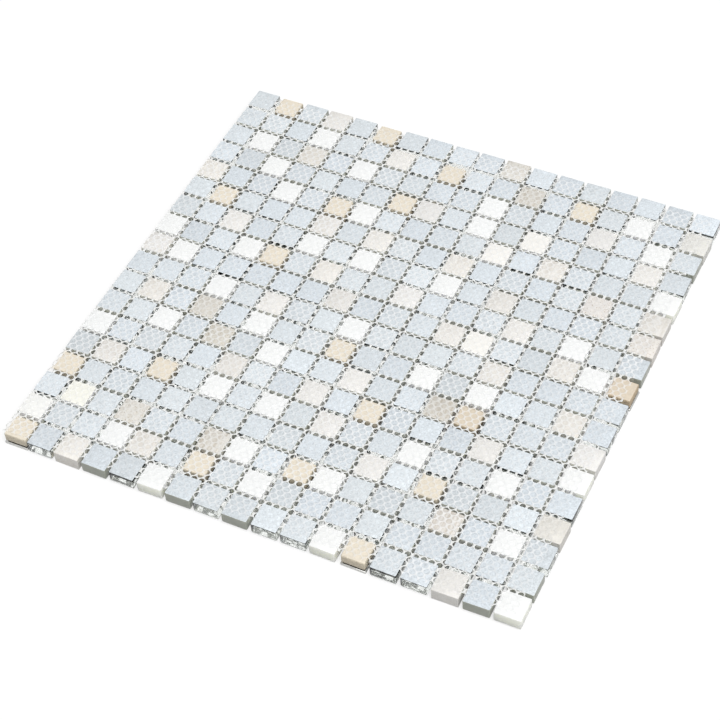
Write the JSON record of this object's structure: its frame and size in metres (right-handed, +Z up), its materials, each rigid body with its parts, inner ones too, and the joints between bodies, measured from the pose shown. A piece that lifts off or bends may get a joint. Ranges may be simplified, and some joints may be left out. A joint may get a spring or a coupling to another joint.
{
  "type": "mosaic tile sheet",
  "caption": "Square mosaic sheet of small glass, marble and steel-faced tiles, held in a grid by an open net glued over their backs, lying face down.",
  "frame": {"origin": "middle of the sheet on the floor, under the tiles' front faces", "axes": "+Z up, from the tiles' front faces to the net over their backs; +X along a row of tiles; +Y along a column"},
  "size_m": [0.3044, 0.3043, 0.0084],
  "materials": {
    "clear_glass": "clear pressed glass with a pale blue back coat",
    "grey_glass": "grey glass with even matt sides and a pale blue back coat",
    "white_glass": "opaque white pressed glass",
    "marble": "honed beige and grey marble",
    "brushed_cap_steel": "brushed stainless steel sheet",
    "fired_clay": "unglazed tan fired clay",
    "net_thread": "white thread set in clear glue"
  },
  "bodies": {
    "root": {"clear_glass_tiles": "clear_glass", "grey_glass_tiles": "grey_glass", "white_glass_tiles": "white_glass", "marble_tiles": "marble", "steel_tile_caps": "brushed_cap_steel", "ceramic_tile_bodies": "fired_clay", "net_lower_threads": "net_thread", "net_upper_threads": "net_thread"}
  },
  "joints": []
}
